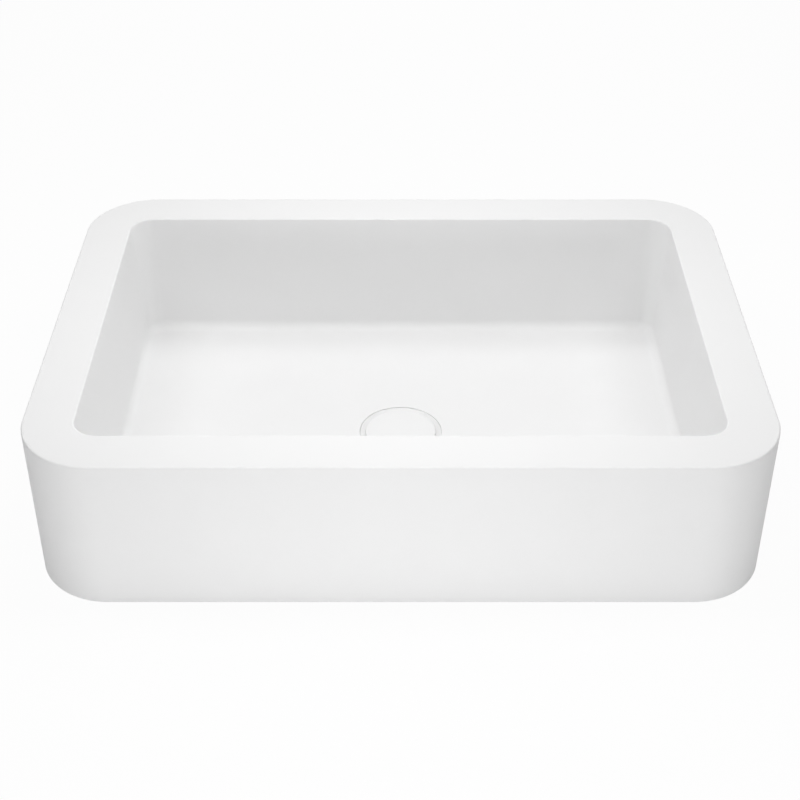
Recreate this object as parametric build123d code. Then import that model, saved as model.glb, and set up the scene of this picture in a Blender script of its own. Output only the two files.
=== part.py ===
from build123d import *
import math
import os

# Countertop basin of cast stone, with a click waste under a cover of the same stone.
# Millimetres. The origin is the centre of the base on the countertop's plane, X runs
# along the basin, Y from its front to its back and Z up. The waste is shown shut.

# Bowl
LENGTH = 580.0
WIDTH = 415.0
HEIGHT = 135.0
CORNER_RADIUS = 60.0
RIM_WIDTH = 40.0
BOWL_CORNER_RADIUS = 20.0
WALL_LEAN = 5.0
FLOOR_EDGE_HEIGHT = 17.5
FLOOR_DRAIN_HEIGHT = 13.0
FLOOR_FILLET = 9.0
DRAIN_LEVEL = 3.0
SUMP_FLAT = 0.5
EDGE_ROUND = 1.5

# Underside of the bowl: a land round the base, a field cast higher, and a boss for the waste
BASE_LAND = 36.0
FIELD_DEPTH = 3.0
FIELD_ROUND = 1.5
BOSS_DIAMETER = 96.0
BOSS_SHY = 0.5

# Waste hole and the recess that the flange lies in
HOLE_DIAMETER = 46.0
RECESS_GAP = 0.5
RECESS_ROUND = 0.6

# Drain cover, its metal carrier and the ring seal
COVER_DIAMETER = 62.0
COVER_EDGE = 1.8
COVER_CROWN = 0.8
COVER_ROUND = 0.6
COVER_PROUD = 0.2
CARRIER_DIAMETER = 46.0
CARRIER_PLATE = 1.0
CARRIER_LIP = 1.5
CARRIER_HUB_DIAMETER = 14.0
CARRIER_HUB_LENGTH = 4.0
CARRIER_WALL = 3.0
SEAL_SECTION = 3.0
SEAL_CLEARANCE = 0.15
LIP_CLEARANCE = 0.6
PRESS_ROOM = 1.3
LIFT = 9.0

# Waste body: dished flange, mouth cone, barrel with the pipe thread's outer diameter, spider
GASKET_THICKNESS = 1.0
FLANGE_DIAMETER = 72.0
FLANGE_THICKNESS = 1.2
FLANGE_SINK = 0.8
FLANGE_LAND = 0.7
FLANGE_ROUND = 0.4
DISH_GAP = 0.6
DISH_ROUND = 4.0
THREAD_DIAMETER = 41.91
THREAD_CHAMFER = 1.0
BARREL_LENGTH = 65.0
BARREL_BORE = 36.0
MOUTH_DEPTH = 2.5
OUTLET_THREAD = 14.0
RUNOUT_WIDTH = 3.0
RUNOUT_DEPTH = 1.2
SPIDER_ARMS = 3
SPIDER_ARM_WIDTH = 3.0
SPIDER_HEIGHT = 6.0
SPIDER_HUB_WALL = 2.6
SPIDER_ARM_ROOT = 1.2

# Clamp under the basin
LOWER_GASKET_DIAMETER = 62.0
LOWER_GASKET_THICKNESS = 5.0
LOWER_GASKET_BEVEL = 1.25
SLIP_WASHER_DIAMETER = 61.0
SLIP_WASHER_THICKNESS = 1.5
NUT_FLATS = 52.0
NUT_HEIGHT = 10.0
NUT_FLANGE_DIAMETER = 60.0
NUT_FLANGE_HEIGHT = 2.5
CLAMP_CLEARANCE = 0.3
THREAD_CLEARANCE = 0.05

# Click mechanism
SLEEVE_DIAMETER = 17.0
SLEEVE_WALL = 1.5
SLEEVE_LENGTH = 46.0
SLEEVE_COLLAR_FLATS = 20.0
SLEEVE_COLLAR_HEIGHT = 3.0
SLEEVE_ABOVE_COLLAR = 11.0
TRACKS = 4
TRACK_WIDTH = 3.4
TRACK_DEPTH = 1.4
RIB_CLEARANCE = 0.2
HEAD_CLEARANCE = 0.3
STEM_DIAMETER = 8.0
STEM_CLEARANCE = 0.05
STEM_IN_HUB = 7.0
HEAD_HEIGHT = 5.0
CROWN_DEPTH = 2.4
CROWN_CLEARANCE = 0.1
ROTOR_HEIGHT = 5.0
ROTOR_RIB_HEIGHT = 3.4
CATCH_DEPTH = 1.4
GUIDE_TOP = 2.0
GUIDE_PLUG = 5.0
STEM_SEAL_SECTION = 1.6
HEIGHT_NUT_FLATS = 13.0
HEIGHT_NUT_THICKNESS = 3.0
PLUG_HEIGHT = 5.0
PLUG_RIM = 1.5
SPRING_WIRE = 1.0
SPRING_TURNS = 6.5
SPRING_CLEARANCE = 0.35
SPIGOT_LENGTH = 3.0

# How near an edge's height or radius is to the one asked for
EDGE_TOLERANCE = 0.01

# How far a cutter runs past the face that it opens, and a tooth's wedge past its body
CUT_MARGIN = 1.0
WEDGE_REACH = 1.2

# Bowl places
bowl_length = LENGTH - 2 * RIM_WIDTH
bowl_width = WIDTH - 2 * RIM_WIDTH
floor_length = bowl_length - 2 * WALL_LEAN
floor_width = bowl_width - 2 * WALL_LEAN
floor_corner_radius = BOWL_CORNER_RADIUS - WALL_LEAN
field_corner_radius = CORNER_RADIUS - BASE_LAND

# Waste places, from the bowl's floor down
flange_radius = FLANGE_DIAMETER / 2
recess_radius = flange_radius + RECESS_GAP
cover_edge_top = FLOOR_DRAIN_HEIGHT + COVER_PROUD
cover_under = cover_edge_top - COVER_EDGE
flange_rim_top = FLOOR_DRAIN_HEIGHT - FLANGE_SINK
flange_top = cover_under - PRESS_ROOM
flange_under = flange_top - FLANGE_THICKNESS
recess_floor = flange_under - GASKET_THICKNESS
barrel_foot = flange_under - BARREL_LENGTH
barrel_radius = THREAD_DIAMETER / 2
bore_radius = BARREL_BORE / 2
mouth_radius = bore_radius + MOUTH_DEPTH

# Clamp places, from the boss down
clamp_bore = barrel_radius + CLAMP_CLEARANCE
gasket_foot = BOSS_SHY - LOWER_GASKET_THICKNESS
washer_foot = gasket_foot - SLIP_WASHER_THICKNESS
nut_foot = washer_foot - NUT_HEIGHT

# Seal places: the ring's centre stands off the mouth's 45 degree cone
seal_radius = SEAL_SECTION / 2
seal_height = cover_under - seal_radius - THREAD_CLEARANCE
seal_off_cone = (seal_radius + SEAL_CLEARANCE) * math.sqrt(2)
seal_ring_radius = mouth_radius + (seal_height - flange_top) - seal_off_cone
lip_top = seal_height - seal_radius - THREAD_CLEARANCE
lip_under = lip_top - CARRIER_LIP
lip_radius = bore_radius - LIP_CLEARANCE
hub_foot = lip_under - CARRIER_HUB_LENGTH

# Click mechanism places, from the carrier's hub down
stem_radius = STEM_DIAMETER / 2
stem_top = hub_foot + STEM_IN_HUB
height_nut_foot = hub_foot - HEIGHT_NUT_THICKNESS
guide_top = height_nut_foot - PRESS_ROOM
sleeve_top = guide_top - GUIDE_TOP
sleeve_foot = sleeve_top - SLEEVE_LENGTH
collar_foot = sleeve_top - SLEEVE_ABOVE_COLLAR - SLEEVE_COLLAR_HEIGHT
sleeve_radius = SLEEVE_DIAMETER / 2
sleeve_bore = sleeve_radius - SLEEVE_WALL
spider_bore = sleeve_radius + THREAD_CLEARANCE
ledge_bore = sleeve_bore - TRACK_DEPTH
guide_foot = sleeve_top - GUIDE_PLUG
head_radius = ledge_bore - HEAD_CLEARANCE
rib_radius = sleeve_bore - HEAD_CLEARANCE
rib_width = TRACK_WIDTH - 2 * RIB_CLEARANCE
head_top = guide_foot - LIFT - CROWN_CLEARANCE
head_foot = head_top - HEAD_HEIGHT
crown_tooth = CROWN_DEPTH / 2
rotor_lead = 360 / TRACKS / 8
rotor_top = head_foot - crown_tooth - CROWN_CLEARANCE
rotor_rib_top = rotor_top - crown_tooth
ledge_foot = rotor_rib_top - CATCH_DEPTH
rotor_foot = rotor_top - ROTOR_HEIGHT
catch_slope = CATCH_DEPTH / (sleeve_bore * math.tan(math.radians(90 / TRACKS)))
plug_top = sleeve_foot + PLUG_HEIGHT - PLUG_RIM
spring_radius = head_radius - SPRING_WIRE / 2
spigot_radius = spring_radius - SPRING_WIRE / 2 - SPRING_CLEARANCE


def turned(*points):
    """A solid of revolution about Z from its half section's (radius, height) corners."""
    section = Plane.XZ * make_face(Polyline(*points, close=True))
    return revolve(section, Axis.Z)


def tube(outer, inner, foot, top):
    """A plain ring between two radii and two heights."""
    return turned((inner, foot), (outer, foot), (outer, top), (inner, top))


def level_edges(shape, height):
    """The edges of a shape that lie level at a height."""
    return ShapeList(
        edge
        for edge in shape.edges()
        if abs(edge.bounding_box().min.Z - height) < EDGE_TOLERANCE
        and abs(edge.bounding_box().max.Z - height) < EDGE_TOLERANCE
    )


def in_bowl(edge):
    """Whether an edge of the rim belongs to the bowl's opening."""
    centre = edge.center()
    return abs(centre.X) < bowl_length / 2 + EDGE_ROUND and abs(centre.Y) < bowl_width / 2 + EDGE_ROUND


def prism(flats, foot, top):
    """A hexagonal prism measured across its flats, with its corners bevelled like a nut's."""
    corner = flats / math.sqrt(3)
    bevel = (corner - flats / 2) / math.sqrt(3)
    blank = Pos(0, 0, foot) * extrude(RegularPolygon(corner, 6), top - foot)
    cone = turned(
        (0, foot),
        (flats / 2, foot),
        (corner, foot + bevel),
        (corner, top - bevel),
        (flats / 2, top),
        (0, top),
    )
    return blank & cone


def around(count, shape, start=0.0):
    """Equal copies of a shape about Z, the first one turned by start degrees."""
    return [Rot(0, 0, start + 360 * n / count) * shape for n in range(count)]


def pyramid(radius, half_angle, height):
    """A three-sided tooth with its tip on the axis and its foot beyond the radius.

    Its base is level at height 0 and spans half_angle each way. The ridge rises with the
    distance from the axis, and reaches height at the radius.
    """
    reach = WEDGE_REACH * radius
    half = reach * math.tan(math.radians(half_angle))
    rise = height * reach / radius
    end = Plane.YZ * make_face(Polyline((-half, 0), (half, 0), (0, rise), close=True))
    return loft([Vertex(0, 0, 0), Pos(reach, 0, 0) * end])


def crown(body, radius, height, start, side):
    """Gives a round body a ring of face teeth on its end at the given height.

    side is 1 for teeth that point up and -1 for teeth that point down. Each tooth takes
    half of its pitch, and the gaps between them are cut as deep as the teeth are high.
    """
    teeth = 2 * TRACKS
    half = 90 / teeth
    disc = Pos(0, 0, height) * Cylinder(radius, 2 * CROWN_DEPTH)
    tooth = Pos(0, 0, height) * pyramid(radius, half, side * crown_tooth)
    gap = Pos(0, 0, height) * pyramid(radius, half, -side * crown_tooth)
    for place in around(teeth, gap, start + 2 * half):
        body -= place
    for place in around(teeth, tooth, start):
        body += place & disc
    return body


def rib(height, roof=0.0):
    """A guide rib standing on height 0, from the axis to its running gap in the track.

    The last part of its height, roof, is a ridge like a roof's.
    """
    half = rib_width / 2
    corners = [(-half, 0), (half, 0), (half, height - roof)]
    if roof > 0:
        corners.append((0, height))
    corners.append((-half, height - roof))
    return extrude(Plane.YZ * make_face(Polyline(*corners, close=True)), rib_radius)


def basin():
    """The cast bowl: upright outer walls, leaning inner walls and a floor that falls to the waste."""
    body = extrude(RectangleRounded(LENGTH, WIDTH, CORNER_RADIUS), HEIGHT)
    body = fillet(body.faces().sort_by(Axis.Z)[-1].edges(), EDGE_ROUND)
    body = fillet(body.faces().sort_by(Axis.Z)[0].edges(), EDGE_ROUND)

    mouth = Pos(0, 0, HEIGHT) * RectangleRounded(bowl_length, bowl_width, BOWL_CORNER_RADIUS)
    foot = RectangleRounded(floor_length, floor_width, floor_corner_radius)
    foot = Pos(0, 0, FLOOR_EDGE_HEIGHT) * foot
    level = recess_radius + DRAIN_LEVEL
    sump = Pos(0, 0, FLOOR_DRAIN_HEIGHT) * RectangleRounded(2 * level, 2 * level, level - SUMP_FLAT)
    hollow = loft([foot, mouth], ruled=True) + loft([sump, foot], ruled=True)
    creases = level_edges(hollow, FLOOR_EDGE_HEIGHT)
    body -= fillet(creases, FLOOR_FILLET)
    rim = [edge for edge in level_edges(body, HEIGHT) if in_bowl(edge)]
    body = fillet(rim, EDGE_ROUND)

    body -= tube(recess_radius, 0, recess_floor, HEIGHT)
    body -= tube(HOLE_DIAMETER / 2, 0, -EDGE_ROUND, HEIGHT)
    recess_edge = level_edges(body, FLOOR_DRAIN_HEIGHT).filter_by(GeomType.CIRCLE)
    body = fillet(recess_edge.sort_by(SortBy.RADIUS)[0], RECESS_ROUND)

    field = RectangleRounded(LENGTH - 2 * BASE_LAND, WIDTH - 2 * BASE_LAND, field_corner_radius)
    field = extrude(field, FIELD_DEPTH)
    boss = tube(BOSS_DIAMETER / 2, 0, BOSS_SHY, FIELD_DEPTH)
    field = fillet(level_edges(field - boss, FIELD_DEPTH), FIELD_ROUND)
    return body - field


def flange_gasket():
    """The flat ring between the recess and the waste's flange."""
    inner = HOLE_DIAMETER / 2 + CLAMP_CLEARANCE
    outer = flange_radius - CLAMP_CLEARANCE
    return tube(outer, inner, recess_floor, flange_under)


def waste_body():
    """One casting: the saucer-shaped flange, the mouth's cone, the barrel and the spider in it."""
    dish_radius = COVER_DIAMETER / 2 + DISH_GAP
    runout_foot = barrel_foot + OUTLET_THREAD
    runout_top = runout_foot + RUNOUT_WIDTH
    root = barrel_radius - RUNOUT_DEPTH
    shell = turned(
        (bore_radius, barrel_foot),
        (barrel_radius - THREAD_CHAMFER, barrel_foot),
        (barrel_radius, barrel_foot + THREAD_CHAMFER),
        (barrel_radius, runout_foot),
        (root, runout_foot + RUNOUT_DEPTH),
        (root, runout_top - RUNOUT_DEPTH),
        (barrel_radius, runout_top),
        (barrel_radius, flange_under),
        (flange_radius, flange_under),
        (flange_radius, flange_rim_top),
        (flange_radius - FLANGE_LAND, flange_rim_top),
        (dish_radius, flange_top),
        (mouth_radius, flange_top),
        (bore_radius, flange_top - MOUTH_DEPTH),
    )
    dish = level_edges(shell, flange_top).sort_by(SortBy.RADIUS)[-1]
    shell = fillet(dish, DISH_ROUND)
    rim = level_edges(shell, flange_rim_top).sort_by(SortBy.RADIUS)[-1]
    shell = fillet(rim, FLANGE_ROUND)
    hub = spider_bore + SPIDER_HUB_WALL
    foot = collar_foot - SPIDER_HEIGHT
    reach = bore_radius + SPIDER_ARM_ROOT
    arm = Pos(reach / 2, 0, foot + SPIDER_HEIGHT / 2) * Box(reach, SPIDER_ARM_WIDTH, SPIDER_HEIGHT)
    for place in around(SPIDER_ARMS, arm):
        shell += place
    shell += tube(hub, 0, foot, collar_foot)
    return shell - tube(spider_bore, 0, foot - CUT_MARGIN, collar_foot + CUT_MARGIN)


def lower_gasket():
    """The thick soft ring under the basin, with a bevelled foot."""
    outer = LOWER_GASKET_DIAMETER / 2
    return turned(
        (clamp_bore, gasket_foot),
        (outer - LOWER_GASKET_BEVEL, gasket_foot),
        (outer, gasket_foot + LOWER_GASKET_BEVEL),
        (outer, BOSS_SHY),
        (clamp_bore, BOSS_SHY),
    )


def slip_washer():
    """The hard ring that the nut turns against."""
    return tube(SLIP_WASHER_DIAMETER / 2, clamp_bore, washer_foot, gasket_foot)


def lock_nut():
    """The large hexagon nut with a round flange on its upper face."""
    nut = prism(NUT_FLATS, nut_foot, washer_foot)
    nut += tube(NUT_FLANGE_DIAMETER / 2, 0, washer_foot - NUT_FLANGE_HEIGHT, washer_foot)
    bore = barrel_radius + THREAD_CLEARANCE
    return nut - tube(bore, 0, nut_foot - CUT_MARGIN, washer_foot + CUT_MARGIN)


def cartridge_housing():
    """The sleeve with its wrench collar, four tracks inside and a catch between each two."""
    sleeve = tube(sleeve_radius, 0, sleeve_foot, sleeve_top)
    sleeve += prism(SLEEVE_COLLAR_FLATS, collar_foot, collar_foot + SLEEVE_COLLAR_HEIGHT)
    sleeve -= tube(sleeve_bore, 0, sleeve_foot - CUT_MARGIN, ledge_foot)
    sleeve -= tube(ledge_bore, 0, ledge_foot - CUT_MARGIN, guide_foot)
    sleeve -= tube(sleeve_bore, 0, guide_foot, sleeve_top + CUT_MARGIN)
    track_height = guide_foot - ledge_foot
    track = Pos(sleeve_bore / 2, 0, ledge_foot + track_height / 2)
    track *= Box(sleeve_bore, TRACK_WIDTH, track_height)
    track &= tube(sleeve_bore, 0, ledge_foot, guide_foot)
    for place in around(TRACKS, track):
        sleeve -= place
    catch = Pos(0, 0, ledge_foot) * pyramid(sleeve_bore, 90 / TRACKS, CATCH_DEPTH)
    catch &= tube(sleeve_bore, 0, ledge_foot - CUT_MARGIN, guide_foot)
    for place in around(TRACKS, catch, 180 / TRACKS):
        sleeve -= place
    return sleeve


def stem_guide():
    """The gland nut in the sleeve's top, with the groove for the stem's seal."""
    bore = stem_radius + STEM_CLEARANCE
    groove = bore + STEM_SEAL_SECTION + STEM_CLEARANCE
    groove_foot = sleeve_top - STEM_SEAL_SECTION
    return turned(
        (bore, guide_foot),
        (sleeve_bore - THREAD_CLEARANCE, guide_foot),
        (sleeve_bore - THREAD_CLEARANCE, sleeve_top),
        (sleeve_radius, sleeve_top),
        (sleeve_radius, guide_top),
        (bore, guide_top),
        (bore, sleeve_top),
        (groove, sleeve_top),
        (groove, groove_foot),
        (bore, groove_foot),
    )


def stem_seal():
    """The ring seal round the stem, in the guide's groove."""
    section = STEM_SEAL_SECTION / 2
    ring = stem_radius + STEM_CLEARANCE + section
    return Pos(0, 0, sleeve_top - section) * Torus(ring, section)


def plunger():
    """The stem, with its guide ribs and the crown of teeth that turns the rotor."""
    stem = tube(stem_radius, 0, head_foot, stem_top)
    head = tube(head_radius, 0, head_foot, head_top)
    guide = Pos(0, 0, head_foot + crown_tooth) * rib(HEAD_HEIGHT - crown_tooth)
    body = stem + head
    for place in around(TRACKS, guide):
        body += place
    return crown(body, head_radius, head_foot, 0, -1)


def click_rotor():
    """The cam follower: a crown of teeth over four ribs with bevelled tops, and a spring spigot."""
    body = tube(head_radius, 0, rotor_foot, rotor_top)
    body += tube(spigot_radius, 0, rotor_foot - SPIGOT_LENGTH, rotor_foot)
    roof = catch_slope * rib_width / 2
    shaft = Pos(0, 0, rotor_rib_top - ROTOR_RIB_HEIGHT) * rib(ROTOR_RIB_HEIGHT, roof)
    for place in around(TRACKS, shaft):
        body += place
    return crown(body, head_radius, rotor_top, rotor_lead, 1)


def return_spring():
    """The coil spring between the foot plug and the rotor, one round wire on a helix."""
    low = plug_top + SPRING_WIRE / 2 + THREAD_CLEARANCE
    high = rotor_foot - SPRING_WIRE / 2 - THREAD_CLEARANCE
    path = Pos(0, 0, low) * Helix((high - low) / SPRING_TURNS, high - low, spring_radius)
    section = Plane(origin=path @ 0, z_dir=path % 0) * Circle(SPRING_WIRE / 2)
    return sweep(section, path)


def base_plug():
    """The plug in the sleeve's foot, with a rim under the sleeve and a spigot in the spring."""
    inside = sleeve_bore - THREAD_CLEARANCE
    return turned(
        (0, sleeve_foot - PLUG_RIM),
        (sleeve_radius, sleeve_foot - PLUG_RIM),
        (sleeve_radius, sleeve_foot),
        (inside, sleeve_foot),
        (inside, plug_top),
        (spigot_radius, plug_top),
        (spigot_radius, plug_top + SPIGOT_LENGTH),
        (0, plug_top + SPIGOT_LENGTH),
    )


def height_nut():
    """The thin nut that locks the carrier on the stem at its set height."""
    nut = prism(HEIGHT_NUT_FLATS, height_nut_foot, hub_foot)
    bore = stem_radius + THREAD_CLEARANCE
    return nut - tube(bore, 0, height_nut_foot - CUT_MARGIN, hub_foot + CUT_MARGIN)


def cover_carrier():
    """The turned dish under the cover: plate, seal groove, lip and threaded hub."""
    hub = CARRIER_HUB_DIAMETER / 2
    groove = seal_ring_radius - seal_radius - THREAD_CLEARANCE
    body = turned(
        (0, hub_foot),
        (hub, hub_foot),
        (hub, cover_under - CARRIER_LIP),
        (groove - CARRIER_WALL, cover_under - CARRIER_LIP),
        (groove - CARRIER_WALL, lip_under),
        (lip_radius, lip_under),
        (lip_radius, lip_top),
        (groove, lip_top),
        (groove, cover_under),
        (CARRIER_DIAMETER / 2, cover_under),
        (CARRIER_DIAMETER / 2, cover_under + CARRIER_PLATE),
        (0, cover_under + CARRIER_PLATE),
    )
    return body - tube(stem_radius + THREAD_CLEARANCE, 0, hub_foot - CUT_MARGIN, stem_top)


def cover_seal():
    """The ring seal in the carrier's groove, just off the mouth's cone."""
    return Pos(0, 0, seal_height) * Torus(seal_ring_radius, seal_radius)


def drain_cover():
    """The crowned stone disc, with a shallow pocket for the carrier's plate.

    So flat an arc has fallen by a quarter of its crown halfway out to its edge.
    """
    rim = COVER_DIAMETER / 2
    pocket = CARRIER_DIAMETER / 2 + THREAD_CLEARANCE
    pocket_top = cover_under + CARRIER_PLATE
    crown_top = (0, cover_edge_top + COVER_CROWN)
    edge_top = (rim, cover_edge_top)
    sag = COVER_CROWN / 4
    halfway = (rim / 2, cover_edge_top + COVER_CROWN - sag)
    section = Polyline(
        crown_top,
        (0, pocket_top),
        (pocket, pocket_top),
        (pocket, cover_under),
        (rim, cover_under),
        edge_top,
    )
    section += ThreePointArc(edge_top, halfway, crown_top)
    disc = revolve(Plane.XZ * make_face(section), Axis.Z)
    outer = [e for e in disc.edges().filter_by(GeomType.CIRCLE) if e.radius > rim - EDGE_TOLERANCE]
    return fillet(outer, COVER_ROUND)


def main():
    """Builds every piece and writes one file for each."""
    makers = (
        basin,
        flange_gasket,
        waste_body,
        lower_gasket,
        slip_washer,
        lock_nut,
        cartridge_housing,
        stem_guide,
        stem_seal,
        plunger,
        click_rotor,
        return_spring,
        base_plug,
        height_nut,
        cover_carrier,
        cover_seal,
        drain_cover,
    )
    os.makedirs("parts", exist_ok=True)
    for maker in makers:
        piece = maker()
        export_step(piece, f"parts/{maker.__name__}.step")
        print(maker.__name__, len(piece.solids()), round(piece.volume, 1))


if __name__ == "__main__":
    main()
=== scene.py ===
"""The looks of a countertop basin of matte white cast stone, with its click waste.

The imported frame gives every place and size. The new pieces are smooth surfaces worked out on
grids of points: turned profiles, threads, hexagon nuts, and the basin itself as one profile
carried round a rounded rectangle. Lengths are in metres, and X runs along the basin, Y from
its front to its back and Z up from the countertop.
"""

import logging
import math
from collections.abc import Callable, Sequence
from dataclasses import dataclass, field
from enum import Enum

import bpy
import numpy as np
from mathutils import Euler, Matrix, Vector


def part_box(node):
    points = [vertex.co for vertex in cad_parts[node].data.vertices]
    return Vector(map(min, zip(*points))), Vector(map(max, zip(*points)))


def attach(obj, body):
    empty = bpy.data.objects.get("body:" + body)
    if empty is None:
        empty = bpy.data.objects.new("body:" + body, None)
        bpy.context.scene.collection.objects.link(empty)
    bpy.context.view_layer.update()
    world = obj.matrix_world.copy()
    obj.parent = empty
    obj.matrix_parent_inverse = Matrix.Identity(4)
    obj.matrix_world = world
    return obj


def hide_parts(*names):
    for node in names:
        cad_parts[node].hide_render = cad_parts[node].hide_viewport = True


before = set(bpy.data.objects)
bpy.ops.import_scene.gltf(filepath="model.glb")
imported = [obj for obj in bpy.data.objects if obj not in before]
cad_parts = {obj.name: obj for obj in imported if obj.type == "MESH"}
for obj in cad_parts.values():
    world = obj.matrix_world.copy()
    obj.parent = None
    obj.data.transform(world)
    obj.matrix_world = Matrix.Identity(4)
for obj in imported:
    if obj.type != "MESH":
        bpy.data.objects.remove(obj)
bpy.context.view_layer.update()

MM = 0.001
FULL_TURN = 2 * math.pi
FIXED_BODY = "basin_and_waste"
MOVING_BODY = "cover"

# Stretches in the arc of a softened corner, and the points that such a corner gets
ARC_STEPS = 5
CORNER_POINTS = ARC_STEPS + 3
# Stretches of a quarter of a ring: along the side, round the corner and along the front
RING_STEPS = (10, 28, 14)

Array = np.ndarray
Colour = tuple[float, float, float]
Corner = tuple[float, float]
Material = bpy.types.Material
Socket = bpy.types.NodeSocket

log = logging.getLogger("basin")


class Ends(Enum):
    """How a grid of rows is closed across its first and last row."""

    JOINED = "the last row meets the first"
    CAPPED = "each end is fanned onto the middle of its row"


@dataclass(frozen=True)
class Extent:
    """The reach of a node about the waste's axis: its radii and its heights."""

    inner: float
    outer: float
    foot: float
    top: float

    @classmethod
    def of(cls, node: str) -> "Extent":
        """Measures a CAD node.

        Args:
            node: The node's name.

        Returns:
            The smallest and largest distance of its points from the axis, and its heights.
        """
        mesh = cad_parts[node].data
        points = np.empty(3 * len(mesh.vertices))
        mesh.vertices.foreach_get("co", points)
        points = points.reshape(-1, 3)
        radii = np.hypot(points[:, 0], points[:, 1])
        heights = points[:, 2]
        return cls(float(radii.min()), float(radii.max()), float(heights.min()), float(heights.max()))


@dataclass
class Shell:
    """One closed surface: its points, and its faces of four and of three corners."""

    points: Array
    quads: Array
    triangles: Array = field(default_factory=lambda: np.empty((0, 3), int))

    @classmethod
    def from_rows(cls, rows: Array, ends: Ends) -> "Shell":
        """Closes a grid of points into a shell that faces outward.

        The point of row i and column j joins its neighbours i + 1 and j + 1, and the columns
        always run round. The volume that the faces enclose is the sum of the products of their
        corners over six, and where it is below nothing, every face is turned over.

        Args:
            rows: The points, as rows by columns by three.
            ends: How the first and last row are closed.

        Returns:
            The closed shell.
        """
        count, columns = rows.shape[:2]
        index = np.arange(count * columns).reshape(count, columns)
        low, high = index[:-1], index[1:]
        if ends is Ends.JOINED:
            low, high = index, np.roll(index, -1, axis=0)
        corners = (low, np.roll(low, -1, axis=1), np.roll(high, -1, axis=1), high)
        quads = np.stack(corners, axis=-1).reshape(-1, 4)
        points = rows.reshape(-1, 3)
        triangles = np.empty((0, 3), int)
        if ends is Ends.CAPPED:
            poles = np.stack([rows[0].mean(axis=0), rows[-1].mean(axis=0)])
            middles = np.repeat([[len(points)], [len(points) + 1]], columns, axis=1)
            first = np.stack([np.roll(index[0], -1), index[0], middles[0]], axis=-1)
            last = np.stack([index[-1], np.roll(index[-1], -1), middles[1]], axis=-1)
            triangles = np.concatenate([first, last])
            points = np.concatenate([points, poles])
        shell = cls(points, quads, triangles)
        if shell.volume() < 0:
            shell.quads = shell.quads[:, ::-1]
            shell.triangles = shell.triangles[:, ::-1]
        return shell

    def volume(self) -> float:
        """The space inside the shell, below nothing where its faces point inward."""
        halves = (self.quads[:, :3], self.quads[:, [0, 2, 3]], self.triangles)
        a, b, c = (self.points[np.concatenate(halves)[:, n]] for n in range(3))
        return float(np.einsum("ij,ij->i", a, np.cross(b, c)).sum() / 6)


def oblong(left: float, right: float, foot: float, top: float) -> tuple[Corner, ...]:
    """The corners of an upright rectangle."""
    return ((left, foot), (right, foot), (right, top), (left, top))


def softened(
    corners: Sequence[Corner], radius: float | Sequence[float], steps: int = ARC_STEPS
) -> Array:
    """A closed profile whose corners are rounded by arcs.

    The arc of a corner that turns by an angle touches both sides at radius times the tangent of
    half that angle. A point more on each side, a little past the arc, keeps the shading of the
    flat stretch flat, so each corner gets steps + 3 points.

    Args:
        corners: The profile's (radius, height) corners in order.
        radius: The arcs' radius, or one radius for each corner.
        steps: The number of stretches in each arc.

    Returns:
        The rounded profile's points, as n by two.
    """
    points = np.asarray(corners, float)
    radii = np.broadcast_to(np.asarray(radius, float), len(points))
    ahead = np.roll(points, -1, axis=0) - points
    lengths = np.linalg.norm(ahead, axis=1)
    onward = ahead / lengths[:, None]
    back = -np.roll(onward, 1, axis=0)
    turn = np.pi - np.arccos(np.clip((onward * back).sum(axis=1), -1, 1))
    reach = radii * np.tan(turn / 2)
    free = lengths - reach - np.roll(reach, -1)
    spare = np.minimum(np.minimum(free, np.roll(free, 1)) / 3, radii)
    middle = (onward + back) / np.linalg.norm(onward + back, axis=1)[:, None]
    centre = points + middle * (radii / np.cos(turn / 2))[:, None]
    start = points + back * reach[:, None] - centre
    angle = turn[:, None] * np.linspace(0, 1, steps + 1)
    to_arc = -back[:, None, :] * np.sin(angle)[..., None] * radii[:, None, None]
    arc = centre[:, None, :] + start[:, None, :] * np.cos(angle)[..., None] + to_arc
    lead = points + back * (reach + spare)[:, None]
    trail = points + onward * (reach + spare)[:, None]
    return np.concatenate([lead[:, None], arc, trail[:, None]], axis=1).reshape(-1, 2)


def divided(profile: Array, end: int, parts: int) -> Array:
    """Cuts one stretch of a profile into equal parts.

    Args:
        profile: The profile's points.
        end: The number of the point at the stretch's end.
        parts: The number of parts.

    Returns:
        The profile with the points between the parts.
    """
    between = np.linspace(profile[end - 1], profile[end], parts + 1)[1:-1]
    return np.concatenate([profile[:end], between, profile[end:]])


def turned(profile: Array, columns: int) -> Array:
    """Carries a profile round the Z axis.

    A point of radius r and height z goes to r times the cosine and r times the sine of the
    column's angle, at the same height.

    Args:
        profile: The (radius, height) points, as rows by two, or rows by columns by two.
        columns: The number of columns round the axis.

    Returns:
        The grid of points, as rows by columns by three.
    """
    angle = FULL_TURN * np.arange(columns) / columns
    if profile.ndim == 2:
        profile = np.repeat(profile[:, None, :], columns, axis=1)
    radius, height = profile[..., 0], profile[..., 1]
    return np.stack([radius * np.cos(angle), radius * np.sin(angle), height], axis=-1)


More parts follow.
